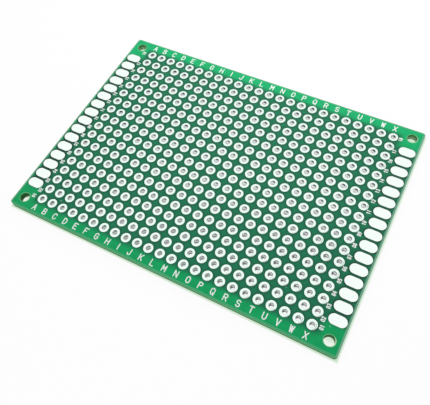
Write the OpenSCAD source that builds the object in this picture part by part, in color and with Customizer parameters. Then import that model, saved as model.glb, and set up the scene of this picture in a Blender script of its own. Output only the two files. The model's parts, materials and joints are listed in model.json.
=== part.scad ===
// Prototype board with a grid of plated holes and long pads along both short edges.
// The underside lies on z = 0, +X runs from column A to the last column and +Y from row 01 to the last row.

/* [Grid] */
// Number of columns of plated holes, lettered from A
columns = 24; // [4:1:26]
// Number of rows of plated holes, numbered from 01
rows = 18; // [4:1:30]
// Distance between neighbouring holes
pitch = 2.54; // [2.5:0.01:5.08]

/* [Board] */
// Thickness over the copper of both faces
board_t = 1.6; // [0.8:0.1:2.4]
// Radius of the corners
corner_r = 0.6; // [0.2:0.1:1.2]
// Free strip along the long edges, where the column letters go
letter_strip = 2.435; // [2.2:0.005:6]
// Free strip between the grid and the edge pads, where the row numbers go
number_strip = 1.015; // [0.5:0.005:4]

/* [Plated holes] */
// Finished diameter of a plated hole
hole_d = 0.94; // [0.6:0.02:1.2]
// Diameter of the round pad on each face
pad_d = 1.95; // [1.6:0.05:2.2]
// Thickness of the plating on the wall of a hole
plating_t = 0.03; // [0.02:0.005:0.06]
// Height of the solder's crown over a round pad's copper
pad_solder_t = 0.035; // [0.02:0.005:0.06]

/* [Edge pads] */
// Length of an edge pad, across the board's end
edge_pad_l = 3.35; // [2.5:0.05:6]
// Width of an edge pad
edge_pad_w = 2; // [1.4:0.05:2.2]
// Bare strip between an edge pad and the board's end
edge_pad_inset = 0.45; // [0.3:0.05:2]
// Height of the solder on an edge pad
edge_solder_t = 0.045; // [0.02:0.005:0.06]
// Width of the slope around the flat top of an edge pad's solder
edge_slope_w = 0.45; // [0.2:0.05:0.6]

/* [Copper and solder mask] */
// Thickness of the pads' copper
copper_t = 0.045; // [0.035:0.005:0.07]
// Thickness of the solder mask
mask_t = 0.025; // [0.015:0.005:0.04]
// Bare ring between a pad and the solder mask
mask_gap = 0.06; // [0.03:0.01:0.1]
// Bare strip between the solder mask and the board's edge
mask_inset = 0.14; // [0.04:0.02:0.18]

/* [Mounting holes] */
// Diameter of a mounting hole
mount_d = 2; // [1.6:0.1:2.6]
// Distance from a mounting hole's centre to both edges of its corner
mount_inset = 2.2; // [1.8:0.1:2.4]
// Bare ring between a mounting hole and the solder mask
mount_gap = 0.16; // [0.04:0.02:0.3]

/* [Hidden] */
hole_r = hole_d / 2;
drill_r = hole_r + plating_t;
pad_r = pad_d / 2;
edge_pad_r = edge_pad_w / 2;
grid_l = (columns - 1) * pitch;
grid_w = (rows - 1) * pitch;
board_l = grid_l + pad_d + 2 * (number_strip + edge_pad_l + edge_pad_inset);
board_w = grid_w + pad_d + 2 * letter_strip;
laminate_t = board_t - 2 * copper_t;
bottom_z = copper_t + max(pad_solder_t, edge_solder_t);
top_z = bottom_z + laminate_t;
edge_pad_x = board_l / 2 - edge_pad_inset - edge_pad_l / 2;

laminate_tan = [0.72, 0.76, 0.58];
mask_green = [0.05, 0.46, 0.27];
tinned = [0.86, 0.88, 0.87];

round_fn = 48;
crown_fn = 180;

function column_x(column) = column * pitch - grid_l / 2;
function row_y(row) = row * pitch - grid_w / 2;
function column_node(column) = str("plated_holes_", chr(ord("a") + column));

// Outline of the board with its rounded corners, drawn in by an inset
module board_outline(inset) {
    square([board_l - 2 * corner_r, board_w - 2 * inset], center = true);
    square([board_l - 2 * inset, board_w - 2 * corner_r], center = true);
    for (x = [-1, 1], y = [-1, 1])
        translate([x * (board_l / 2 - corner_r), y * (board_w / 2 - corner_r)])
            circle(r = corner_r - inset, $fn = round_fn);
}

// Circles of one radius at every hole of the grid
module grid_circles(r) {
    for (column = [0 : columns - 1], row = [0 : rows - 1])
        translate([column_x(column), row_y(row)]) circle(r = r, $fn = round_fn);
}

// Circles of one radius at the four mounting holes
module mount_circles(r) {
    for (x = [-1, 1], y = [-1, 1])
        translate([x * (board_l / 2 - mount_inset), y * (board_w / 2 - mount_inset)])
            circle(r = r, $fn = round_fn);
}

// Puts its children at each edge pad of one end: -1 is the left end, 1 the right end
module at_edge_pads(end) {
    for (row = [1 : rows - 2]) translate([end * edge_pad_x, row_y(row)]) children();
}

// Outline of an edge pad, grown by a margin
module edge_pad_outline(margin) {
    straight = edge_pad_l - edge_pad_w;
    square([straight, edge_pad_w + 2 * margin], center = true);
    for (side = [-1, 1])
        translate([side * straight / 2, 0]) circle(r = edge_pad_r + margin, $fn = round_fn);
}

// Solder that falls in one round slope from its full height at x = 0 to nothing at x = width
module solder_slope(width, height) {
    slope_r = (width ^ 2 + height ^ 2) / (2 * height);
    intersection() {
        square(slope_r);
        translate([0, height - slope_r]) circle(r = slope_r, $fn = crown_fn);
    }
}

// Pad of a plated hole in section: copper, and solder that falls to both sides of its crown
module pad_section() {
    half_w = (pad_r - hole_r) / 2;
    translate([hole_r, 0]) square([2 * half_w, copper_t]);
    translate([hole_r + half_w, copper_t]) {
        solder_slope(half_w, pad_solder_t);
        mirror([1, 0]) solder_slope(half_w, pad_solder_t);
    }
}

// One barrel with a pad on both faces of the laminate
module plated_hole() {
    rotate_extrude($fn = round_fn) {
        translate([hole_r, -laminate_t / 2]) square([plating_t, laminate_t]);
        translate([0, laminate_t / 2]) pad_section();
        translate([0, -laminate_t / 2]) mirror([0, 1]) pad_section();
    }
}

// Half of an edge pad's section: copper below, solder with a flat top and a round slope above
module edge_pad_half_section() {
    top_x = edge_pad_r - edge_slope_w;
    square([edge_pad_r, copper_t]);
    translate([0, copper_t]) square([top_x, edge_solder_t]);
    translate([top_x, copper_t]) solder_slope(edge_slope_w, edge_solder_t);
}

// One edge pad, standing on z = 0
module edge_pad() {
    straight = edge_pad_l - edge_pad_w;
    translate([-straight / 2, 0, 0]) rotate([90, 0, 90]) linear_extrude(straight) {
        edge_pad_half_section();
        mirror([1, 0]) edge_pad_half_section();
    }
    for (side = [-1, 1])
        translate([side * straight / 2, 0, 0]) rotate(-90 * side)
            rotate_extrude(angle = 180, $fn = round_fn) edge_pad_half_section();
}

// Solder mask of one face, short of the board's edge and open around the pads and the mounting holes
module mask_sheet() {
    linear_extrude(mask_t) difference() {
        board_outline(mask_inset);
        grid_circles(pad_r + mask_gap);
        mount_circles(mount_d / 2 + mount_gap);
        for (end = [-1, 1]) at_edge_pads(end) edge_pad_outline(mask_gap);
    }
}

module substrate() {
    color(laminate_tan) translate([0, 0, bottom_z]) linear_extrude(laminate_t) difference() {
        board_outline(0);
        grid_circles(drill_r);
        mount_circles(mount_d / 2);
    }
}

module solder_mask_top() {
    color(mask_green) translate([0, 0, top_z]) mask_sheet();
}

module solder_mask_bottom() {
    color(mask_green) translate([0, 0, bottom_z - mask_t]) mask_sheet();
}

module plated_holes(column) {
    color(tinned) for (row = [0 : rows - 1])
        translate([column_x(column), row_y(row), (bottom_z + top_z) / 2]) plated_hole();
}

module edge_pads_top(end) {
    color(tinned) translate([0, 0, top_z]) at_edge_pads(end) edge_pad();
}

module edge_pads_bottom(end) {
    color(tinned) translate([0, 0, bottom_z]) mirror([0, 0, 1]) at_edge_pads(end) edge_pad();
}

substrate();
solder_mask_top();
solder_mask_bottom();
for (column = [0 : columns - 1])
    plated_holes(column);
edge_pads_top(-1);  // edge_pads_left_top
edge_pads_top(1);  // edge_pads_right_top
edge_pads_bottom(-1);  // edge_pads_left_bottom
edge_pads_bottom(1);  // edge_pads_right_bottom
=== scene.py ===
"""Dresses a bare prototype board: green solder mask, tinned pads, cut laminate edge and white printed legend.

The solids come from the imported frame, in metres. This file adds their finishes, the ink of the
column letters and row numbers, a few specks on the mask, and a plain pale studio.
"""

import json
import math
import random

import bmesh
import bpy
from mathutils import Matrix, Vector


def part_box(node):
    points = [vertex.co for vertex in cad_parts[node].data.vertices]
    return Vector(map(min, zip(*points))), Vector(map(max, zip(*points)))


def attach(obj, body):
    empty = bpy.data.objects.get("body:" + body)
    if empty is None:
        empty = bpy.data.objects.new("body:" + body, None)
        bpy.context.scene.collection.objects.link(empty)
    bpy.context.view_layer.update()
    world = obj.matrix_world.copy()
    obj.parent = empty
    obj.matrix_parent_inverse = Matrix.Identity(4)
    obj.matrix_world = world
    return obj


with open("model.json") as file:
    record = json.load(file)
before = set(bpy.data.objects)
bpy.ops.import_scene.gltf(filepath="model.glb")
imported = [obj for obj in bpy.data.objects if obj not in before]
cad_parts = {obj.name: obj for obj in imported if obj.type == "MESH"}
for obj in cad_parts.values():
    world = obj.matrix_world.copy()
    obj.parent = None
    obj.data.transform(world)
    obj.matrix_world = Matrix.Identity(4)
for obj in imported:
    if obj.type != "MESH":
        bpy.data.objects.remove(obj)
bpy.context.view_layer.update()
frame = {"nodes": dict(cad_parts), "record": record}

bl_info = {
    "name": "Prototype board",
    "version": (1, 0, 0),
    "blender": (4, 5, 0),
    "location": "View3D > Sidebar > Board",
    "description": "Finishes, legend and studio for a prototype board",
    "category": "Object",
}

MM = 0.001
PHOTO_WIDTH, PHOTO_HEIGHT = 430, 405


# Places on the board, read from the frame in metres

def middle(node):
    """Centre of a node's box."""
    low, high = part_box(node)
    return (low + high) / 2


COLUMN_NODES = sorted(name for name in frame["nodes"] if name.startswith("plated_holes_"))
EDGE_PAD_NODES = sorted(name for name in frame["nodes"] if name.startswith("edge_pads_"))
MASK_NODES = ["solder_mask_top", "solder_mask_bottom"]
COLUMN_LOW, COLUMN_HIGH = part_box(COLUMN_NODES[0])
BOARD_LOW, BOARD_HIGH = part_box("substrate")
EDGE_PAD_LOW, EDGE_PAD_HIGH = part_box("edge_pads_right_top")
MASK_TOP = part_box("solder_mask_top")[1].z
PAD_TOP = COLUMN_HIGH.z
PAD_D = COLUMN_HIGH.x - COLUMN_LOW.x
COLUMNS = len(COLUMN_NODES)
PITCH = (middle(COLUMN_NODES[-1]).x - middle(COLUMN_NODES[0]).x) / (COLUMNS - 1)
ROWS = round((COLUMN_HIGH.y - COLUMN_LOW.y - PAD_D) / PITCH) + 1
EDGE_PAD_W = EDGE_PAD_HIGH.y - EDGE_PAD_LOW.y - (ROWS - 3) * PITCH
MOUNTS = {mount["name"]: mount for mount in frame["record"]["mounts"]}
SCREW_HOLE = MOUNTS["mounting_hole_far_right"]


def column_x(column):
    """Place of a column along the board, counted from 0."""
    return (column - (COLUMNS - 1) / 2) * PITCH


def row_y(row):
    """Place of a row across the board, counted from 0."""
    return (row - (ROWS - 1) / 2) * PITCH


# The same places in millimetres, for the finishes

PITCH_MM = PITCH / MM
END_X = BOARD_HIGH.x / MM
SIDE_Y = BOARD_HIGH.y / MM
LAST_COLUMN_X = column_x(COLUMNS - 1) / MM
LAST_ROW_Y = row_y(ROWS - 1) / MM
PAD_R = PAD_D / MM / 2
HOLE_R = MOUNTS["lead_hole_a01"]["dims"]["r_mm"]
EDGE_PAD_X = (EDGE_PAD_LOW.x + EDGE_PAD_HIGH.x) / MM / 2
EDGE_PAD_R = EDGE_PAD_W / MM / 2
EDGE_PAD_HALF_STRAIGHT = (EDGE_PAD_HIGH.x - EDGE_PAD_LOW.x - EDGE_PAD_W) / MM / 2
LAST_EDGE_PAD_Y = EDGE_PAD_HIGH.y / MM - EDGE_PAD_R
SCREW_R = SCREW_HOLE["dims"]["r_mm"]
SCREW_X, SCREW_Y, MIDDLE_Z = (metres / MM for metres in SCREW_HOLE["pos_m"])


# Settings that a user would change

def srgb(red, green, blue):
    """A screen colour of 0 to 255 as a linear colour."""
    def linear(level):
        level /= 255
        return level / 12.92 if level <= 0.04045 else ((level + 0.055) / 1.055) ** 2.4
    return linear(red), linear(green), linear(blue)


def colour_property(name, description, *screen_colour):
    """A colour, given in screen levels of 0 to 255."""
    return bpy.props.FloatVectorProperty(
        name=name, description=description, default=srgb(*screen_colour), subtype="COLOR", min=0, max=1)


def length_property(name, description, millimetres):
    """A length, given in millimetres."""
    return bpy.props.FloatProperty(
        name=name, description=description, default=millimetres * MM, unit="LENGTH", subtype="DISTANCE")


def angle_property(name, description, degrees):
    """An angle, given in degrees."""
    return bpy.props.FloatProperty(
        name=name, description=description, default=math.radians(degrees), subtype="ANGLE")


class BoardFinishSettings(bpy.types.PropertyGroup):
    """Colours of the board's surfaces."""

    # Painted light and shade: the rim green is bright as if lit through the clear laminate from beneath, the
    # far rim brighter still where the lamp behind falls, and the field green darker as if the pads shade it
    # from beneath
    lit_rim_green: colour_property("Rim green", "Solder mask over clear laminate", 8, 174, 101)
    lit_far_rim: colour_property("Far rim", "The same along the far edge", 18, 188, 116)
    shaded_field_green: colour_property("Field green", "Solder mask between the pads", 25, 127, 88)
    # Painted shade: the shade green darkens the narrow places beside the pads and the bare laminate face
    # around them; it is also the darker tone of the mask's uneven weave and blotches
    shade_green: colour_property("Shade green", "Solder mask in the narrow places beside a pad", 6, 42, 30)
    thin_green: colour_property("Thin green", "Solder mask that thins out at the outline", 96, 190, 136)
    laminate_core: colour_property("Laminate core", "Cut edge, lit through the mask", 72, 178, 117)
    laminate_skin: colour_property("Laminate skin", "Rough plies low on the cut edge", 88, 122, 80)
    laminate_bare: colour_property("Bare laminate", "Face along the right end's rough cut", 128, 180, 154)
    laminate_stained: colour_property("Stained laminate", "Face along the other edges", 84, 168, 118)
    laminate_ring: colour_property("Laminate ring", "Face around a screw hole", 108, 194, 132)
    laminate_lip_highlight: colour_property("Laminate lip", "Lit side of a screw hole's ring", 214, 240, 206)
    # Painted shade and light: the bore colour is shade high in a screw hole, the pale colour is light from
    # the floor low in it
    laminate_shaded_bore: colour_property("Laminate bore", "Wall of a screw hole", 44, 122, 58)
    laminate_lit_low_bore: colour_property("Pale laminate", "Lower wall of a screw hole", 206, 234, 198)
    tin: colour_property("Tin", "Solder on the edge pads", 245, 255, 250)
    tin_ring: colour_property("Tin ring", "Solder on the round pads", 236, 255, 247)
    tin_rim: colour_property("Tin rim", "Plating at the mouth of a hole", 178, 184, 180)
    tin_barrel: colour_property("Tin barrel", "Plating inside a hole", 254, 255, 254)
    # Painted shade: the deep tin colour is the plating darkened low in a hole
    tin_deep_shade: colour_property("Deep tin", "Plating low in a hole", 118, 119, 119)
    # Painted shade and dark reflections: the dark tin colour darkens the holes' walls and marks some pads
    tin_painted_dark: colour_property("Tin stain", "Flux stains on the pads and in the holes", 40, 39, 40)
    ink: colour_property("Ink", "Printed letters and numbers", 250, 255, 253)


class BoardLegendSettings(bpy.types.PropertyGroup):
    """Sizes and places of the printed letters and numbers."""

    letter_height: length_property("Letter height", "Height of a column letter", 1.4)
    letter_width: length_property("Letter width", "Width of a column letter", 0.9)
    letter_stroke: length_property("Letter stroke", "Width of a letter's strokes", 0.22)
    letter_y: length_property("Letter row", "Distance of the letters from the board's middle", 23.78)
    letter_shift: length_property("Letter shift", "Shift of a letter along its row from its column", -0.27)
    figure_height: length_property("Figure height", "Height of a row number", 0.85)
    figure_width: length_property("Figure width", "Width of one figure", 0.45)
    figure_gap: length_property("Figure gap", "Gap between a row number's two figures", 0.03)
    figure_stroke: length_property("Figure stroke", "Width of a figure's strokes", 0.18)
    ink_height: length_property("Ink height", "Thickness of the printed ink", 0.02)
    speck_size: length_property("Speck size", "Width of a stray speck of ink", 0.2)


class BoardStageSettings(bpy.types.PropertyGroup):
    """Camera and light of the studio."""

    azimuth: angle_property("Azimuth", "Turn of the camera round the board", 34.205)
    elevation: angle_property("Elevation", "Height of the camera over the board", 57.495)
    roll: angle_property("Roll", "Tilt of the picture", -8.075)
    distance: length_property("Distance", "Camera to its target", 109.99)
    target_x: length_property("Target X", "Target of the camera along the board", 1.514)
    target_y: length_property("Target Y", "Target of the camera across the board", -1.275)
    focal_px: bpy.props.FloatProperty(
        name="Focal length", description="Focal length in pixels of the picture", default=544.53)
    centre_px: bpy.props.FloatVectorProperty(
        name="Picture centre", description="Pixel that the lens axis meets", size=2, default=(222.73, 175.0))
    sky: bpy.props.FloatProperty(
        name="Sky", description="Strength of the even light from all round", default=0.44)
    key: bpy.props.FloatProperty(
        name="Key light", description="Power of the soft lamp behind the board", default=0.098, unit="POWER")
    fill: bpy.props.FloatProperty(
        name="Fill light", description="Power of the soft lamp before the board", default=0.1, unit="POWER")
    white_share: bpy.props.FloatProperty(
        name="White share", description="Part of the floor's colour that no shadow reaches",
        default=0.94, subtype="FACTOR")
    under_green: colour_property(
        "Floor under the rim", "Light that comes through the board's rim", 206, 231, 206)


class BoardSettings(bpy.types.PropertyGroup):
    """All settings of the board's looks."""

    finish: bpy.props.PointerProperty(type=BoardFinishSettings)
    legend: bpy.props.PointerProperty(type=BoardLegendSettings)
    stage: bpy.props.PointerProperty(type=BoardStageSettings)


def settings():
    """The scene's settings of the board."""
    return bpy.context.scene.prototype_board


# Shader maths

class Value:
    """An output socket of a finish. Arithmetic on it adds Math nodes."""

    def __init__(self, finish, socket):
        self.finish = finish
        self.socket = socket

    def other(self, output):
        """Another output of the same node."""
        return Value(self.finish, self.socket.node.outputs[output])

    def __add__(self, other):
        return self.finish.math("ADD", self, other)

    def __radd__(self, other):
        return self.finish.math("ADD", other, self)

    def __sub__(self, other):
        return self.finish.math("SUBTRACT", self, other)

    def __rsub__(self, other):
        return self.finish.math("SUBTRACT", other, self)

    def __mul__(self, other):
        return self.finish.math("MULTIPLY", self, other)

    def __rmul__(self, other):
        return self.finish.math("MULTIPLY", other, self)

    def __truediv__(self, other):
        return self.finish.math("DIVIDE", self, other)

    def __rtruediv__(self, other):
        return self.finish.math("DIVIDE", other, self)

    def __gt__(self, other):
        return self.finish.math("GREATER_THAN", self, other)

    def __lt__(self, other):
        return self.finish.math("LESS_THAN", self, other)

    def __abs__(self):
        return self.finish.math("ABSOLUTE", self)

    def __floor__(self):
        return self.finish.math("FLOOR", self)

    def root(self):
        return self.finish.math("SQRT", self)

    def most(self, other):
        return self.finish.math("MAXIMUM", self, other)

    def least(self, other):
        return self.finish.math("MINIMUM", self, other)


class Finish:
    """The nodes of a material or a world, and the one method that adds them."""

    def __init__(self, owner):
        self.owner = owner
        self.owner.use_nodes = True
        self.tree = self.owner.node_tree
        self.tree.nodes.clear()

    def node(self, kind, options=None, sockets=None, output=0):
        """Adds a node, sets its options, then sets or links its sockets, and gives one of its outputs."""
        made = self.tree.nodes.new(kind)
        for name, value in (options or {}).items():
            setattr(made, name, value)
        for name, value in (sockets or {}).items():
            if isinstance(value, Value):
                self.tree.links.new(value.socket, made.inputs[name])
            else:
                made.inputs[name].default_value = value
        return Value(self, made.outputs[output]) if made.outputs else None

    def math(self, operation, *values):
        """Adds a Math node."""
        return self.node("ShaderNodeMath", {"operation": operation}, dict(enumerate(values)))

    def mix(self, share, first, second):
        """Mixes two colours."""
        paints = [paint if isinstance(paint, Value) else (*paint, 1) for paint in (first, second)]
        return self.node(
            "ShaderNodeMix", {"data_type": "RGBA"}, {0: share, 6: paints[0], 7: paints[1]}, output=2)

    def step(self, value, low, high):
        """0 below low, 1 above high, and a smooth rise between."""
        return self.node(
            "ShaderNodeMapRange", {"interpolation_type": "SMOOTHSTEP"},
            {"Value": value, "From Min": low, "From Max": high})

    def fade(self, value, low, high):
        """1 below low, 0 above high, and a smooth fall between."""
        return 1 - self.step(value, low, high)

    def noise(self, place, per_mm, detail):
        """Soft noise of about 0 to 1 with so many blots to the millimetre."""
        return self.node(
            "ShaderNodeTexNoise", None, {"Vector": place, "Scale": per_mm, "Detail": detail})

    def wave(self, place, direction, scale, bend):
        """Soft bands of 0 to 1 that follow each other in one direction and bend a little."""
        return self.node(
            "ShaderNodeTexWave", {"bands_direction": direction},
            {"Vector": place, "Scale": scale, "Distortion": bend}, output=1)

    def place_mm(self):
        """Place on the board in millimetres, as a vector and as its three parts."""
        metres = self.node("ShaderNodeTexCoord", output="Object")
        place = self.node("ShaderNodeVectorMath", {"operation": "SCALE"}, {0: metres, "Scale": 1 / MM})
        x = self.node("ShaderNodeSeparateXYZ", None, {0: place})
        return place, x, x.other(1), x.other(2)

    def bump(self, height, depth_mm, strength):
        """A Bump node for the Normal socket."""
        return self.node(
            "ShaderNodeBump", None, {"Height": height, "Distance": depth_mm * MM, "Strength": strength})

    def surface(self, **sockets):
        """Ends the finish in a Principled shader. Names of sockets have _ for a space."""
        inputs = {name.replace("_", " "): value for name, value in sockets.items()}
        shader = self.node("ShaderNodeBsdfPrincipled", None, inputs)
        self.node("ShaderNodeOutputMaterial", None, {"Surface": shader})
        return self.owner


def new_finish(name):
    """An empty finish for a new material."""
    return Finish(bpy.data.materials.new(name))


def wear(node, material):
    """Gives a CAD node one finish in all its slots."""
    mesh = frame["nodes"][node].data
    mesh.materials.clear()
    mesh.materials.append(material)


# Places as the finishes see them, in millimetres

def past(edge, span):
    """Both ends of a span that is counted from an edge."""
    return edge + span[0], edge + span[1]


def either_side(place, below, above):
    """One number where a place is below 0 and another where it is above."""
    return below + (place > 0) * (above - below)


def way(along, across):
    """Length of the way that goes so far along and so far across."""
    return (along * along + across * across).root()


class NearestHole:
    """The hole of the grid that is nearest to a place, and the way from its middle to the place."""

    def __init__(self, x, y):
        self.column = math.floor(x / PITCH_MM + COLUMNS / 2)
        self.row = math.floor(y / PITCH_MM + ROWS / 2)
        self.along = x - (self.column + 0.5 - COLUMNS / 2) * PITCH_MM
        self.across = y - (self.row + 0.5 - ROWS / 2) * PITCH_MM
        self.distance = way(self.along, self.across)


def from_outline(x, y):
    """Distance inward from the board's outline."""
    return (END_X - abs(x)).least(SIDE_Y - abs(y))


def from_screw_hole(x, y):
    """Distance from the middle of the nearest screw hole."""
    return way(abs(x) - SCREW_X, abs(y) - SCREW_Y)


ROUGH_CUT_SPAN = (-0.5, -0.3)
LEFT_ROUGHNESS = 0.5


def rough_cut(finish, x):
    """1 along the right end, whose cut is rough and pale, less along the left end, and 0 elsewhere."""
    return finish.step(abs(x), *past(END_X, ROUGH_CUT_SPAN)) * either_side(x, LEFT_ROUGHNESS, 1)


# Solder mask. A span gives where a shade starts to change and where the change is done

FIELD_PAST_COLUMNS = (0.9, 2.2)
FIELD_PAST_ROWS = (0.5, 1.9)
FIELD_PAST_EDGE_PADS = (1.2, 2.1)
FIELD_PAST_LAST_EDGE_PAD = (0.2, 1.6)
FIELD_FURTHER_RIGHT = 1.0
# Spans and darks of the painted shade beside the round pads and between the edge pads
ROUND_PAD_SHADE = (0.0, 0.7)
EDGE_PAD_SHADE = (0.05, 0.55)
STRIPS_PAST_LAST_EDGE_PAD = (-0.9, 0.3)
ROUND_PAD_DARK = 0.38
LEFT_STRIP_DARK = 0.98
RIGHT_STRIP_DARK = 0.7
THIN_OUTLINE = (0.16, 0.36)
ROUGH_CUT_REACH = 0.12
THIN_SHARE = 0.8
FAR_RIM_START = LAST_ROW_Y / 2
WEAVE_SCALE = 0.7
WEAVE_BEND = 1.5
WEAVE_SHARE = 0.08
MOTTLE_SHARE = 0.08
BLOTCH_LEVELS = (0.35, 0.65)
BLOTCH_SHARE = 0.1


def mask_field(finish, x, y):
    """1 between the pads and 0 over the rim, for the round pads alone and for all pads."""
    grid = finish.fade(abs(x), *past(LAST_COLUMN_X, FIELD_PAST_COLUMNS))
    grid = grid * finish.fade(abs(y), *past(LAST_ROW_Y, FIELD_PAST_ROWS))
    end = abs(x) - either_side(x, 0, FIELD_FURTHER_RIGHT)
    edge = finish.fade(end, *past(EDGE_PAD_X, FIELD_PAST_EDGE_PADS))
    edge = edge * finish.fade(abs(y), *past(LAST_EDGE_PAD_Y, FIELD_PAST_LAST_EDGE_PAD))
    return grid, grid.most(edge)


def mask_shade(finish, x, y, grid):
    """Painted shade in the narrow places around the round pads and between the edge pads."""
    hole = NearestHole(x, y)
    rings = finish.fade(hole.distance, *past(PAD_R, ROUND_PAD_SHADE)) * grid
    past_straight = (abs(abs(x) - EDGE_PAD_X) - EDGE_PAD_HALF_STRAIGHT).most(0)
    from_edge_pad = way(past_straight, hole.across) - EDGE_PAD_R
    strips = finish.fade(from_edge_pad, *EDGE_PAD_SHADE)
    strips = strips * finish.fade(abs(y), *past(LAST_EDGE_PAD_Y, STRIPS_PAST_LAST_EDGE_PAD))
    return (rings * ROUND_PAD_DARK).most(strips * either_side(x, LEFT_STRIP_DARK, RIGHT_STRIP_DARK))


def solder_mask_finish():
    """Satin green mask, thin at the outline, with painted light and shade: bright on the rim as if lit
    through the laminate from beneath, brighter along the far edge where the lamp behind falls, deeper between
    the pads as if they shade it from beneath, and painted shade beside them.
    """
    colours = settings().finish
    finish = new_finish("solder_mask_green")
    place, x, y, _ = finish.place_mm()
    grid, field = mask_field(finish, x, y)
    shade = mask_shade(finish, x, y, grid)
    rough = rough_cut(finish, x)
    thin = finish.fade(from_outline(x, y) - rough * ROUGH_CUT_REACH, *THIN_OUTLINE)

    warp, weft = (finish.wave(place, direction, WEAVE_SCALE, WEAVE_BEND) for direction in "XY")
    weave = warp * weft
    mottle = finish.noise(place, per_mm=0.35, detail=4.0)
    blotch = finish.step(finish.noise(place, per_mm=0.8, detail=3.0), *BLOTCH_LEVELS)
    uneven = weave * WEAVE_SHARE + mottle * MOTTLE_SHARE + blotch * BLOTCH_SHARE

    # Painted light: the rim turns brighter towards the far edge, where the lamp behind the board falls
    rim = finish.mix(finish.step(y, FAR_RIM_START, SIDE_Y), colours.lit_rim_green, colours.lit_far_rim)
    # Painted shade: the field between the pads is darker, as if the pads shade it from beneath
    green = finish.mix(field, rim, colours.shaded_field_green)
    # Painted shade beside the pads and between the edge pads
    green = finish.mix(shade, green, colours.shade_green)
    green = finish.mix(uneven, green, colours.shade_green)
    outline = finish.mix(rough, colours.thin_green, colours.laminate_bare)
    green = finish.mix(thin * THIN_SHARE, green, outline)
    return finish.surface(
        Base_Color=green, Roughness=0.3 + mottle * 0.12, Specular_IOR_Level=0.2,
        Normal=finish.bump(weave * 0.5 + mottle * 0.5, depth_mm=0.012, strength=0.35))


# Laminate. Spans are heights over its lower face, depths under its faces and distances from its cuts

OLIVE_PLIES = (0.55, 0.9)
OLIVE_UNEVEN = 0.15
FACE_DEPTH = (0.005, 0.03)
BORE_WALL = (0.02, 0.05)
BORE_RING = (0.2, 0.4)
BARE_STRIP = (0.2, 0.4)
PALE_WALL_START = 0.1
NEAR_PALE_WALL_END = 0.5
FAR_PALE_WALL_END = 1.4
LIT_LIP = (0.5, 1.0)
FAR_LIP_SHARE = 0.4
PLY_SCALE = 1.7
PLY_BEND = 2.0
PLY_SHARE = 0.06
FIBRE_SHARE = 0.1


def laminate_finish():
    """Glass-epoxy: a cut edge painted green as if lit through the mask, olive low down, a bare strip along
    it, and ringed screw holes, with painted shade high on their walls, painted light from the floor low on
    them, and a painted highlight on the right of the right-hand rings.
    """
    colours = settings().finish
    finish = new_finish("laminate_glass_epoxy")
    place, x, y, z = finish.place_mm()
    height = z - BOARD_LOW.z / MM
    depth = BOARD_HIGH.z / MM - MIDDLE_Z - abs(z - MIDDLE_Z)
    from_bore = from_screw_hole(x, y) - SCREW_R
    ply = finish.wave(place, "Z", PLY_SCALE, PLY_BEND)
    fibre = finish.noise(place, per_mm=3.0, detail=4.0)

    uneven = (ply * PLY_SHARE + fibre * FIBRE_SHARE).least(1)
    # Painted light: the cut edge is green as if lit through the mask
    edge = finish.mix(uneven, colours.laminate_core, colours.laminate_skin)
    olive = finish.fade(height + fibre * OLIVE_UNEVEN, *OLIVE_PLIES)
    edge = finish.mix(olive, edge, colours.laminate_skin)
    # Painted shade and light: a screw hole's wall is dark high up, as in shade, and pale low down, as lit
    # from the floor, with the pale reaching higher in the far holes
    low = finish.fade(height, PALE_WALL_START, either_side(y, NEAR_PALE_WALL_END, FAR_PALE_WALL_END))
    wall = finish.mix(low, colours.laminate_shaded_bore, colours.laminate_lit_low_bore)
    cut = finish.mix(finish.fade(from_bore, *BORE_WALL), edge, wall)

    strip = finish.mix(rough_cut(finish, x), colours.laminate_stained, colours.laminate_bare)
    # Painted shade: away from the outline, the bare laminate face around the pads takes the dark shade green
    face = finish.mix(finish.fade(from_outline(x, y), *BARE_STRIP), colours.shade_green, strip)
    # Painted highlight on the right side of the right-hand screw holes' rings, fainter at the far hole
    lip_highlight = finish.step(x - SCREW_X, *LIT_LIP) * either_side(y, 1, FAR_LIP_SHARE)
    ring = finish.mix(lip_highlight, colours.laminate_ring, colours.laminate_lip_highlight)
    face = finish.mix(finish.fade(from_bore, *BORE_RING), face, ring)
    return finish.surface(
        Base_Color=finish.mix(finish.fade(depth, *FACE_DEPTH), cut, face),
        Roughness=0.6 + fibre * 0.2, Specular_IOR_Level=0.3,
        Normal=finish.bump(ply * 0.6 + fibre * 0.4, depth_mm=0.02, strength=0.4))


# Tinned pads and holes. Depths count down from the pads' crown, a turn says how far a place faces a side

NEAR_ROWS = (-LAST_ROW_Y, LAST_ROW_Y * 0.2)
RIGHT_COLUMNS = (0, LAST_COLUMN_X * 0.4)
NEAR_RIGHT_GAIN = 1.8
SWELL_SHARE = 0.06
GRAIN_SHARE = 0.05
BARREL_WALL = (0.01, 0.07)
MOUTH_DEPTH = (0.05, 0.2)
# Painted shade low in the holes, darker in the near rows away from the left end
DEEP_SHADE_DEPTH = (0.65, 1.15)
DEEP_SHADE_SHARE = 0.5
DEEPER_SHADE_SHARE = 0.6
DEEPER_SHADE_COLUMNS = (LAST_COLUMN_X * -0.8, LAST_COLUMN_X * 0.3)
# Share of the painted shade on the holes' walls
HOLE_SHADE_SHARE = 0.94

# Painted shade on the holes' walls, for the shadowed floor under the board that the plating shows
FAR_SHADE_DEPTH = (0.4, 0.72)
FAR_SHADE_TURN = (0.6, 0.92)
FAR_SHADE_LEAN = 0.25
FAR_SHADE_LEAN_ALONG = 0.65
FAR_SHADE_UNEVEN = 0.2
FAR_SHADE_WIDER_RIGHT = 0.12
FAR_SHADE_DARK = 0.95
FAR_SHADE_DARKER_RIGHT = 0.05
FAR_SHADE_PALER_NEAR_RIGHT = 0.3

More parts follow.
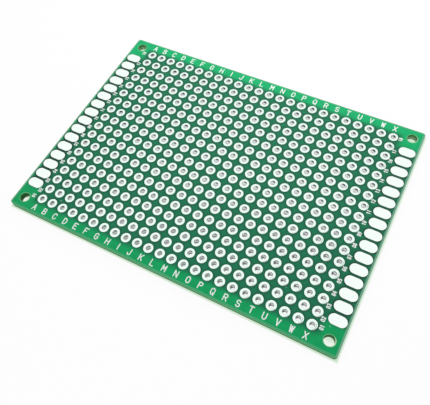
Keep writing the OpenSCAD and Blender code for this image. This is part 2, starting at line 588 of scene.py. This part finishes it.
LEFT_SHADE_DEPTH = (0.15, 0.4)
LEFT_SHADE_TURN = (0.4, 0.85)
LEFT_SHADE_FACING = 0.9
LEFT_SHADE_LEAN = 0.4
LEFT_SHADE_LEAN_ALONG = 0.25
LEFT_SHADE_LEAN_NEAR_RIGHT = 0.5
LEFT_SHADE_WIDER_NEAR_RIGHT = 0.15
LEFT_SHADE_HIGHER_NEAR_RIGHT = 0.12
SHALLOW_DEPTH = (0.6, 0.9)
SHALLOW_SHARE = 0.75

# Painted dark reflections on the pads: crescents on some pads at the right and dark slopes at the near right
CRESCENT_TURN = (0.75, 0.95)
CRESCENT_R = PAD_R * 0.74
CRESCENT_W = (0.02, 0.09)
CRESCENT_CHANCE = 0.72
CRESCENT_SHARE = 0.6
SLOPE_TURN = (1.1, 1.38)
SLOPE_R = (0.68, 0.9)
SLOPE_SHARE = 0.45


def far_wall_shade(finish, hole, x, below, chance, near_right):
    """Painted shade high on the far side of a hole's wall, for the shadowed floor that the plating reflects,
    turned further right towards the right end.
    """
    right = finish.step(x, *RIGHT_COLUMNS)
    lean = x / LAST_COLUMN_X * FAR_SHADE_LEAN_ALONG + FAR_SHADE_LEAN
    turn = (hole.along * lean + hole.across) / HOLE_R
    turn = turn + (chance - 0.5) * FAR_SHADE_UNEVEN + right * FAR_SHADE_WIDER_RIGHT
    dark = FAR_SHADE_DARK + right * FAR_SHADE_DARKER_RIGHT - near_right * FAR_SHADE_PALER_NEAR_RIGHT
    return finish.step(turn, *FAR_SHADE_TURN) * finish.fade(below, *FAR_SHADE_DEPTH) * dark


def left_wall_shade(finish, hole, x, below, near, near_right):
    """Painted shade on the left side of a hole's wall in the near rows, for the shadowed floor seen down the
    hole, full and deep at the near right.
    """
    lean = x / LAST_COLUMN_X * LEFT_SHADE_LEAN_ALONG + LEFT_SHADE_LEAN
    lean = lean - near_right * LEFT_SHADE_LEAN_NEAR_RIGHT
    turn = (hole.across * lean - hole.along * LEFT_SHADE_FACING) / HOLE_R
    hole_shade = finish.step(turn + near_right * LEFT_SHADE_WIDER_NEAR_RIGHT, *LEFT_SHADE_TURN)
    depth = below + near_right * LEFT_SHADE_HIGHER_NEAR_RIGHT
    shallow = near * finish.fade(below, *SHALLOW_DEPTH) * SHALLOW_SHARE
    return hole_shade * finish.step(depth, *LEFT_SHADE_DEPTH) * shallow.most(near_right)


def pad_dark_reflections(finish, hole, x, chance, near_right):
    """Painted dark reflections on the round pads: a crescent on some at the right, and a dark slope at the
    near right.
    """
    marked = (chance * finish.step(x, 0, LAST_COLUMN_X)) > CRESCENT_CHANCE
    crescent = finish.step(hole.along / hole.distance, *CRESCENT_TURN)
    crescent = crescent * finish.fade(abs(hole.distance - CRESCENT_R), *CRESCENT_W) * marked
    slope = finish.step((hole.along - hole.across) / hole.distance, *SLOPE_TURN)
    slope = slope * finish.step(hole.distance, *SLOPE_R) * near_right
    return (crescent * CRESCENT_SHARE).most(slope * SLOPE_SHARE)


def tinned_finish():
    """Bright levelled solder, a little uneven, with painted shade low inside the holes and on their walls,
    and painted dark reflections on some pads.
    """
    colours = settings().finish
    finish = new_finish("tinned_solder")
    place, x, y, z = finish.place_mm()
    hole = NearestHole(x, y)
    on_grid = abs(x) < LAST_COLUMN_X + PITCH_MM / 2
    barrel = finish.fade(hole.distance, *past(HOLE_R, BARREL_WALL)) * on_grid
    below = PAD_TOP / MM - z
    near = finish.fade(y, *NEAR_ROWS)
    near_right = (near * finish.step(x, 0, LAST_COLUMN_X) * NEAR_RIGHT_GAIN).least(1)
    cell = finish.node("ShaderNodeCombineXYZ", None, {0: hole.column, 1: hole.row})
    chance = finish.node("ShaderNodeTexWhiteNoise", None, {"Vector": cell})
    swell = finish.noise(place, per_mm=0.9, detail=2.0)
    grain = finish.noise(place, per_mm=6.0, detail=3.0)

    uneven = (swell * SWELL_SHARE + grain * GRAIN_SHARE).least(1)
    solder = finish.mix(on_grid, colours.tin, colours.tin_ring)
    solder = finish.mix(uneven, solder, colours.tin_barrel)
    plating = finish.mix(finish.step(below, *MOUTH_DEPTH), colours.tin_rim, colours.tin_barrel)
    # Painted shade: the plating darkens low in a hole, more in the near rows
    deeper_shade = near * finish.step(x, *DEEPER_SHADE_COLUMNS)
    deep_shade = finish.step(below, *DEEP_SHADE_DEPTH) * (DEEP_SHADE_SHARE + deeper_shade * DEEPER_SHADE_SHARE)
    plating = finish.mix(deep_shade, plating, colours.tin_deep_shade)
    # Painted shade on the far and left walls of the holes
    far_shade = far_wall_shade(finish, hole, x, below, chance, near_right)
    hole_shade = far_shade.most(left_wall_shade(finish, hole, x, below, near, near_right)) * barrel
    # Painted dark reflections on some pads
    pad_reflections = pad_dark_reflections(finish, hole, x, chance, near_right) * on_grid
    paint = finish.mix(barrel, solder, plating)
    paint = finish.mix((hole_shade * HOLE_SHADE_SHARE).most(pad_reflections), paint, colours.tin_painted_dark)
    return finish.surface(
        Base_Color=paint, Metallic=1.0, Roughness=0.24 + swell * 0.16,
        Normal=finish.bump(swell * 0.8 + grain * 0.2, depth_mm=0.03, strength=0.4))


# Ink. The share is how much green shows through where the print is thinnest

LEGEND_INK = "legend_white_ink"
LEGEND_GREEN_SHARE = 0.03
SPECK_INK = "speck_thin_ink"
SPECK_GREEN_SHARE = 0.8
INK_LEVELS = (0.2, 0.8)


def ink_finish(name, green_share):
    """White print that lets a share of the green through where it is thin."""
    colours = settings().finish
    finish = new_finish(name)
    place, _, _, _ = finish.place_mm()
    thin = finish.fade(finish.noise(place, per_mm=2.4, detail=3.0), *INK_LEVELS)
    grain = finish.noise(place, per_mm=8.0, detail=2.0)
    return finish.surface(
        Base_Color=finish.mix(thin * green_share, colours.ink, colours.lit_rim_green),
        Roughness=0.55, Specular_IOR_Level=0.3,
        Normal=finish.bump(grain, depth_mm=0.004, strength=0.4))


# Strokes of the printed letters and figures, in a box 4 wide and 6 high

BOX_W, BOX_H = 4.0, 6.0
ARC_STEP = math.radians(22.5)


def arc(x, y, wide, high, start, end):
    """Points along part of an ellipse, from one angle to another in degrees."""
    steps = max(2, round(abs(math.radians(end - start)) / ARC_STEP))
    angles = [math.radians(start + (end - start) * step / steps) for step in range(steps + 1)]
    return [(x + wide * math.cos(angle), y + high * math.sin(angle)) for angle in angles]


def oval(x, y, wide, high):
    """Points once round an ellipse, from its top."""
    return arc(x, y, wide, high, 90, 450)


BOWL = [(0, 0), (0, 6), (2.4, 6)] + arc(2.4, 4.5, 1.6, 1.5, 90, -90) + [(0, 3)]
ROUND = arc(2, 4, 2, 2, 0, 180) + arc(2, 2, 2, 2, 180, 360) + [(4, 4)]

STROKES = {
    "A": [[(0, 0), (2, 6), (4, 0)], [(0.7, 2.1), (3.3, 2.1)]],
    "B": [[(0, 3.2), (2.3, 3.2)] + arc(2.3, 1.6, 1.7, 1.6, 90, -90) + [(0, 0), (0, 6), (2.1, 6)]
          + arc(2.1, 4.6, 1.5, 1.4, 90, -90)],
    "C": [arc(2, 4, 2, 2, 20, 180) + arc(2, 2, 2, 2, 180, 340)],
    "D": [[(0, 0), (0, 6), (1.6, 6)] + arc(1.6, 3, 2.4, 3, 90, -90) + [(0, 0)]],
    "E": [[(4, 6), (0, 6), (0, 0), (4, 0)], [(0, 3.1), (2.8, 3.1)]],
    "F": [[(4, 6), (0, 6), (0, 0)], [(0, 3.1), (2.8, 3.1)]],
    "G": [arc(2, 4, 2, 2, 20, 180) + arc(2, 2, 2, 2, 180, 360) + [(4, 2.7), (2.4, 2.7)]],
    "H": [[(0, 0), (0, 6)], [(4, 0), (4, 6)], [(0, 3.1), (4, 3.1)]],
    "I": [[(2, 0), (2, 6)]],
    "J": [[(3.4, 6)] + arc(1.7, 1.7, 1.7, 1.7, 0, -180)],
    "K": [[(0, 0), (0, 6)], [(4, 6), (0, 2.2)], [(1.4, 3.5), (4, 0)]],
    "L": [[(0, 6), (0, 0), (3.6, 0)]],
    "M": [[(0, 0), (0, 6), (2, 2.2), (4, 6), (4, 0)]],
    "N": [[(0, 0), (0, 6), (4, 0), (4, 6)]],
    "O": [ROUND],
    "P": [BOWL],
    "Q": [ROUND, [(2.5, 1.6), (4, -0.4)]],
    "R": [BOWL, [(2, 3), (4, 0)]],
    "S": [arc(2, 4.5, 2, 1.5, 20, 270) + arc(2, 1.5, 2, 1.5, 90, -160)],
    "T": [[(0, 6), (4, 6)], [(2, 6), (2, 0)]],
    "U": [[(0, 6)] + arc(2, 2, 2, 2, 180, 360) + [(4, 6)]],
    "V": [[(0, 6), (2, 0), (4, 6)]],
    "W": [[(0, 6), (1, 0), (2, 5.4), (3, 0), (4, 6)]],
    "X": [[(0, 0), (4, 6)], [(0, 6), (4, 0)]],
    "0": [ROUND],
    "1": [[(0.8, 4.8), (2.2, 6), (2.2, 0)]],
    "2": [arc(2, 4.2, 2, 1.8, 160, -35) + [(0, 0), (4, 0)]],
    "3": [arc(1.9, 4.5, 1.8, 1.5, 150, -90), arc(1.9, 1.5, 2.1, 1.5, 90, -150)],
    "4": [[(3, 0), (3, 6), (0, 1.8), (4, 1.8)]],
    "5": [[(3.7, 6), (0.5, 6), (0.2, 3.3)] + arc(1.9, 2, 2.1, 2, 130, -140)],
    "6": [oval(2, 1.9, 2, 1.9), arc(3.3, 1.9, 3.3, 4.1, 180, 90)],
    "7": [[(0, 6), (4, 6), (1.4, 0)]],
    "8": [oval(2, 4.5, 1.7, 1.5), oval(2, 1.5, 2, 1.5)],
    "9": [oval(2, 4.1, 2, 1.9), arc(0.7, 4.1, 3.3, 4.1, 0, -90)],
}


# Meshes of the ink. Shares are of half a stroke's width, and a round end stops just short of a point

SHARP_TURN = math.radians(35)
SAME_POINT = 1e-9
CAP_STEPS = (0.5, 0.85, 1.0)
CAP_TIP = 0.05
INK_PROFILE = (-1.0, -0.8, -0.4, 0.0, 0.4, 0.8, 1.0)


def runs(points):
    """Splits a stroke at its sharp corners, so that each run gets round ends there."""
    run = [points[0], points[1]]
    for point in points[2:]:
        before = Vector(run[-1]) - Vector(run[-2])
        after = Vector(point) - Vector(run[-1])
        if after.length < SAME_POINT:
            continue
        if before.angle(after) > SHARP_TURN:
            yield run
            run = [run[-1]]
        run.append(point)
    yield run


def ink_stations(path, half):
    """Stops along a run of ink with its round ends: point, direction and share of the full width."""
    directions = [(b - a).normalized() for a, b in zip(path, path[1:])]
    for cap in reversed(CAP_STEPS):
        yield path[0] - directions[0] * half * cap, directions[0], math.sqrt(1 - cap * cap)
    for index, point in enumerate(path):
        before = directions[max(index - 1, 0)]
        after = directions[min(index, len(directions) - 1)]
        yield point, (before + after).normalized(), 1.0
    for cap in CAP_STEPS:
        yield path[-1] + directions[-1] * half * cap, directions[-1], math.sqrt(1 - cap * cap)


def lay_ink(mesh, points, width, base, height):
    """Lays one run of ink with a rounded top and round ends along flat points in metres."""
    half = width / 2
    rings = []
    for point, direction, share in ink_stations([Vector(point) for point in points], half):
        share = max(share, CAP_TIP)
        side = Vector((-direction.y, direction.x)) * half * share
        ring = []
        for across in INK_PROFILE:
            spot = point + side * across
            rise = height * math.sqrt(max(1 - across * across, 0)) * share
            ring.append(mesh.verts.new((spot.x, spot.y, base + rise)))
        rings.append(ring)
    for first, second in zip(rings, rings[1:]):
        for k in range(len(INK_PROFILE) - 1):
            mesh.faces.new((first[k], first[k + 1], second[k + 1], second[k])).smooth = True
        mesh.faces.new((first[-1], first[0], second[0], second[-1]))
    mesh.faces.new(rings[0])
    mesh.faces.new(reversed(rings[-1]))


def print_sign(mesh, sign, centre, wide, high, stroke, upward=False):
    """Prints one letter or figure centred on a point of the mask, upright or turned to read upward."""
    ink_height = settings().legend.ink_height
    across, up = wide - stroke, high - stroke
    for points in STROKES[sign]:
        placed = [((x / BOX_W - 0.5) * across, (y / BOX_H - 0.5) * up) for x, y in points]
        if upward:
            placed = [(-y, x) for x, y in placed]
        placed = [(centre[0] + x, centre[1] + y) for x, y in placed]
        for run in runs(placed):
            lay_ink(mesh, run, stroke, MASK_TOP, ink_height)


SPECK_RINGS = ((1.0, 0.0), (0.8, 0.55), (0.45, 0.9))


def drop_speck(mesh, place, reach, height):
    """One low drop of ink with an uneven outline, reaching so far from its middle on each side."""
    rings = []
    for share, rise in SPECK_RINGS:
        ring = []
        for side, length in enumerate(reach):
            turn = math.tau * side / len(reach)
            spot = place + Vector((math.cos(turn), math.sin(turn))) * length * share
            ring.append(mesh.verts.new((spot.x, spot.y, MASK_TOP + height * rise)))
        rings.append(ring)
    for outer, inner in zip(rings, rings[1:]):
        for side in range(len(reach)):
            after = (side + 1) % len(reach)
            mesh.faces.new((outer[side], outer[after], inner[after], inner[side])).smooth = True
    mesh.faces.new(rings[-1]).smooth = True
    mesh.faces.new(reversed(rings[0]))


def add_object(name, mesh, material):
    """Turns a bmesh into an object of the scene with one material."""
    data = bpy.data.meshes.new(name)
    mesh.to_mesh(data)
    mesh.free()
    data.materials.append(material)
    made = bpy.data.objects.new(name, data)
    bpy.context.scene.collection.objects.link(made)
    return made


def add_piece(name, mesh, material):
    """Turns a bmesh into a piece that rides on the board."""
    bmesh.ops.recalc_face_normals(mesh, faces=mesh.faces)
    piece = add_object(name, mesh, material)
    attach(piece, "root")


# Stage. Places and sizes of the floor and lamps are in metres, the floor's green in millimetres

FLOOR_SIZE = 3.0
WHITE = (1, 1, 1, 1)
GREEN_OUTSIDE = (-0.5, -0.1)
GREEN_INSIDE = (2.8, 3.8)
LIT_FLOOR = (-0.2, 1.0)
LIT_FLOOR_REACH = 0.2
LIT_FLOOR_SHARE = 0.7
KEY_PLACE = Vector((-0.015, 0.085, 0.085))
FILL_PLACE = Vector((0.02, -0.2, 0.09))
LAMP_SIZE = 0.1
SENSOR_WIDTH_MM = 36
CLIP_START = 0.005


def seen_directly(finish):
    """1 for rays from the camera, a mirror or glass, 0 for light that only brightens other things."""
    path = finish.node("ShaderNodeLightPath", output="Is Camera Ray")
    return path.most(path.other("Is Glossy Ray")).most(path.other("Is Transmission Ray"))


def floor_finish():
    """Plain white to the eye, with a faint painted green-grey tint under the rim for the board's shade and
    the light through it, whiter on the near side of the floor in each screw hole, and a share of matt white
    for the shadow.
    """
    stage = settings().stage
    finish = new_finish("floor_white")
    _, x, y, _ = finish.place_mm()
    inward = from_outline(x, y)
    # Painted shade and glow: the floor under the rim takes the green-grey tint, lifted to white on the lit
    # near side of each screw hole
    rim = finish.step(inward, *GREEN_OUTSIDE) * finish.fade(inward, *GREEN_INSIDE)
    in_screw_hole = from_screw_hole(x, y) < SCREW_R + LIT_FLOOR_REACH
    lit = finish.fade(y - either_side(y, -SCREW_Y, SCREW_Y), *LIT_FLOOR) * in_screw_hole * LIT_FLOOR_SHARE

    matt = finish.node("ShaderNodeBsdfDiffuse", None, {"Color": WHITE})
    white = finish.node("ShaderNodeEmission", None, {"Color": WHITE, "Strength": 1.0})
    green = finish.node("ShaderNodeEmission", None, {"Color": (*stage.under_green, 1), "Strength": 1.0})
    plain = finish.node("ShaderNodeMixShader", None, {0: rim * (1 - lit), 1: white, 2: green})
    share = seen_directly(finish) * stage.white_share
    mixed = finish.node("ShaderNodeMixShader", None, {0: share, 1: matt, 2: plain})
    finish.node("ShaderNodeOutputMaterial", None, {"Surface": mixed})
    return finish.owner


def lay_floor():
    """A pale floor that takes the board's shadow."""
    mesh = bmesh.new()
    bmesh.ops.create_grid(mesh, x_segments=1, y_segments=1, size=FLOOR_SIZE / 2)
    floor = add_object("floor", mesh, floor_finish())


def hang_lamp(scene, name, place, power):
    """A square soft lamp that looks at the board's middle and shows in no reflection."""
    lamp = bpy.data.lights.new(name, "AREA")
    lamp.energy = power
    lamp.size = LAMP_SIZE
    hung = bpy.data.objects.new(name, lamp)
    hung.location = place
    hung.rotation_euler = (-place).to_track_quat("-Z", "Y").to_euler()
    hung.visible_camera = False
    hung.visible_glossy = False
    scene.collection.objects.link(hung)


def light_studio(scene):
    """An even white sky, seen as plain white, a soft lamp behind the board and another before it."""
    stage = settings().stage
    scene.world = bpy.data.worlds.new("studio_sky")
    finish = Finish(scene.world)
    even = finish.node("ShaderNodeBackground", None, {"Color": WHITE, "Strength": stage.sky})
    plain = finish.node("ShaderNodeBackground", None, {"Color": WHITE, "Strength": 1.0})
    mixed = finish.node("ShaderNodeMixShader", None, {0: seen_directly(finish), 1: even, 2: plain})
    finish.node("ShaderNodeOutputWorld", None, {"Surface": mixed})

    hang_lamp(scene, "key_softbox", KEY_PLACE, stage.key)
    hang_lamp(scene, "fill_softbox", FILL_PLACE, stage.fill)


def aim_camera(scene):
    """A camera at the photograph's angle and distance."""
    stage = settings().stage
    turn, height, tilt = stage.azimuth, stage.elevation, stage.roll
    back = Vector((math.sin(turn) * math.cos(height), -math.cos(turn) * math.cos(height), math.sin(height)))
    level_right = Vector((math.cos(turn), math.sin(turn), 0))
    level_up = back.cross(level_right)
    right = math.cos(tilt) * level_right + math.sin(tilt) * level_up
    up = math.cos(tilt) * level_up - math.sin(tilt) * level_right
    target = Vector((stage.target_x, stage.target_y, PAD_TOP))

    lens = bpy.data.cameras.new("photo_camera")
    lens.sensor_fit = "HORIZONTAL"
    lens.sensor_width = SENSOR_WIDTH_MM
    lens.lens = stage.focal_px * lens.sensor_width / PHOTO_WIDTH
    lens.shift_x = (PHOTO_WIDTH / 2 - stage.centre_px[0]) / PHOTO_WIDTH
    lens.shift_y = (stage.centre_px[1] - PHOTO_HEIGHT / 2) / PHOTO_WIDTH
    lens.clip_start = CLIP_START
    camera = bpy.data.objects.new("photo_camera", lens)
    camera.matrix_world = Matrix.Translation(target + back * stage.distance) @ Matrix(
        (right, up, back)).transposed().to_4x4()
    scene.collection.objects.link(camera)
    scene.camera = camera


# Operators

class DressSolderMask(bpy.types.Operator):
    """Gives both solder mask coats their green finish"""

    bl_idname = "prototype_board.dress_solder_mask"
    bl_label = "Dress solder mask"

    def execute(self, context):
        material = solder_mask_finish()
        for node in MASK_NODES:
            wear(node, material)
        return {"FINISHED"}


class DressLaminate(bpy.types.Operator):
    """Gives the laminate its glass-epoxy finish"""

    bl_idname = "prototype_board.dress_laminate"
    bl_label = "Dress laminate"

    def execute(self, context):
        wear("substrate", laminate_finish())
        return {"FINISHED"}


class DressPads(bpy.types.Operator):
    """Gives the plated holes and the edge pads their tinned finish"""

    bl_idname = "prototype_board.dress_pads"
    bl_label = "Dress pads"

    def execute(self, context):
        material = tinned_finish()
        for node in COLUMN_NODES + EDGE_PAD_NODES:
            wear(node, material)
        return {"FINISHED"}


class PrintLetters(bpy.types.Operator):
    """Prints the column letters along both long edges"""

    bl_idname = "prototype_board.print_letters"
    bl_label = "Print column letters"

    def execute(self, context):
        legend = settings().legend
        material = ink_finish(LEGEND_INK, LEGEND_GREEN_SHARE)
        for edge, side in (("near", -1), ("far", 1)):
            mesh = bmesh.new()
            for column in range(COLUMNS):
                centre = (column_x(column) + legend.letter_shift, side * legend.letter_y)
                print_sign(mesh, chr(ord("A") + column), centre, legend.letter_width, legend.letter_height,
                           legend.letter_stroke)
            add_piece(f"column_letters_{edge}", mesh, material)
        return {"FINISHED"}


# For each end, a number's x and its rise from its row in millimetres: usual rows, first row, last row
NUMBER_PLACES = {
    "left": ((-30.9, -1.02), (-31.3, -0.04), (-31.38, -0.21)),
    "right": ((30.54, -0.85), (30.84, 0.25), (30.75, 0.0)),
}


class PrintNumbers(bpy.types.Operator):
    """Prints the row numbers beside both short edges, reading upward, in the ink of the letters"""

    bl_idname = "prototype_board.print_numbers"
    bl_label = "Print row numbers"

    def execute(self, context):
        legend = settings().legend
        material = bpy.data.materials[LEGEND_INK]
        step = legend.figure_width + legend.figure_gap
        for side, (usual, first, last) in NUMBER_PLACES.items():
            mesh = bmesh.new()
            for row in range(ROWS):
                x, rise = first if row == 0 else last if row == ROWS - 1 else usual
                for place, sign in enumerate(f"{row + 1:02d}"):
                    centre = (x * MM, row_y(row) + rise * MM + (place - 0.5) * step)
                    print_sign(mesh, sign, centre, legend.figure_width, legend.figure_height,
                               legend.figure_stroke, upward=True)
            add_piece(f"row_numbers_{side}", mesh, material)
        return {"FINISHED"}


# Places of the specks on the board in millimetres, and how unevenly they reach to their sides
SPECK_PLACES = (
    (-11.1, 12.65), (22.6, -17.4), (-25.4, -20.3), (32.0, -20.6), (29.8, -22.2), (-20.0, 20.7),
    (-21.8, 22.72))
SPECK_SIDES = 9
SPECK_REACH = (0.6, 1.2)
SPECK_SEED = 7


class ScatterSpecks(bpy.types.Operator):
    """Drops a few thin specks of stray ink on the mask"""

    bl_idname = "prototype_board.scatter_specks"
    bl_label = "Scatter specks"

    def execute(self, context):
        legend = settings().legend
        draw = random.Random(SPECK_SEED)
        mesh = bmesh.new()
        for place in SPECK_PLACES:
            reach = [legend.speck_size / 2 * draw.uniform(*SPECK_REACH) for _ in range(SPECK_SIDES)]
            drop_speck(mesh, Vector(place) * MM, reach, legend.ink_height)
        add_piece("ink_specks", mesh, ink_finish(SPECK_INK, SPECK_GREEN_SHARE))
        return {"FINISHED"}


class SetStage(bpy.types.Operator):
    """Sets the pale floor, the soft light and the camera"""

    bl_idname = "prototype_board.set_stage"
    bl_label = "Set stage"

    def execute(self, context):
        scene = context.scene
        scene.view_settings.view_transform = "Standard"
        lay_floor()
        light_studio(scene)
        aim_camera(scene)
        return {"FINISHED"}


# Panel and registration

class BoardPanel(bpy.types.Panel):
    """Lists the steps that dress the board, and its settings."""

    bl_idname = "VIEW3D_PT_prototype_board"
    bl_label = "Prototype board"
    bl_space_type = "VIEW_3D"
    bl_region_type = "UI"
    bl_category = "Board"

    def draw(self, context):
        for operator in OPERATORS:
            self.layout.operator(operator.bl_idname)
        board = context.scene.prototype_board
        for group in (board.finish, board.legend, board.stage):
            box = self.layout.box()
            for name in group.__annotations__:
                box.prop(group, name)


OPERATORS = [DressSolderMask, DressLaminate, DressPads, PrintLetters, PrintNumbers, ScatterSpecks, SetStage]
GROUPS = [BoardFinishSettings, BoardLegendSettings, BoardStageSettings, BoardSettings]
CLASSES = [*GROUPS, *OPERATORS, BoardPanel]


def register():
    for item in CLASSES:
        bpy.utils.register_class(item)
    bpy.types.Scene.prototype_board = bpy.props.PointerProperty(type=BoardSettings)


def unregister():
    del bpy.types.Scene.prototype_board
    for item in reversed(CLASSES):
        bpy.utils.unregister_class(item)


def main():
    register()
    bpy.ops.prototype_board.dress_solder_mask()
    bpy.ops.prototype_board.dress_laminate()
    bpy.ops.prototype_board.dress_pads()
    bpy.ops.prototype_board.print_letters()
    bpy.ops.prototype_board.print_numbers()
    bpy.ops.prototype_board.scatter_specks()
    bpy.ops.prototype_board.set_stage()


if __name__ == "__main__":
    main()
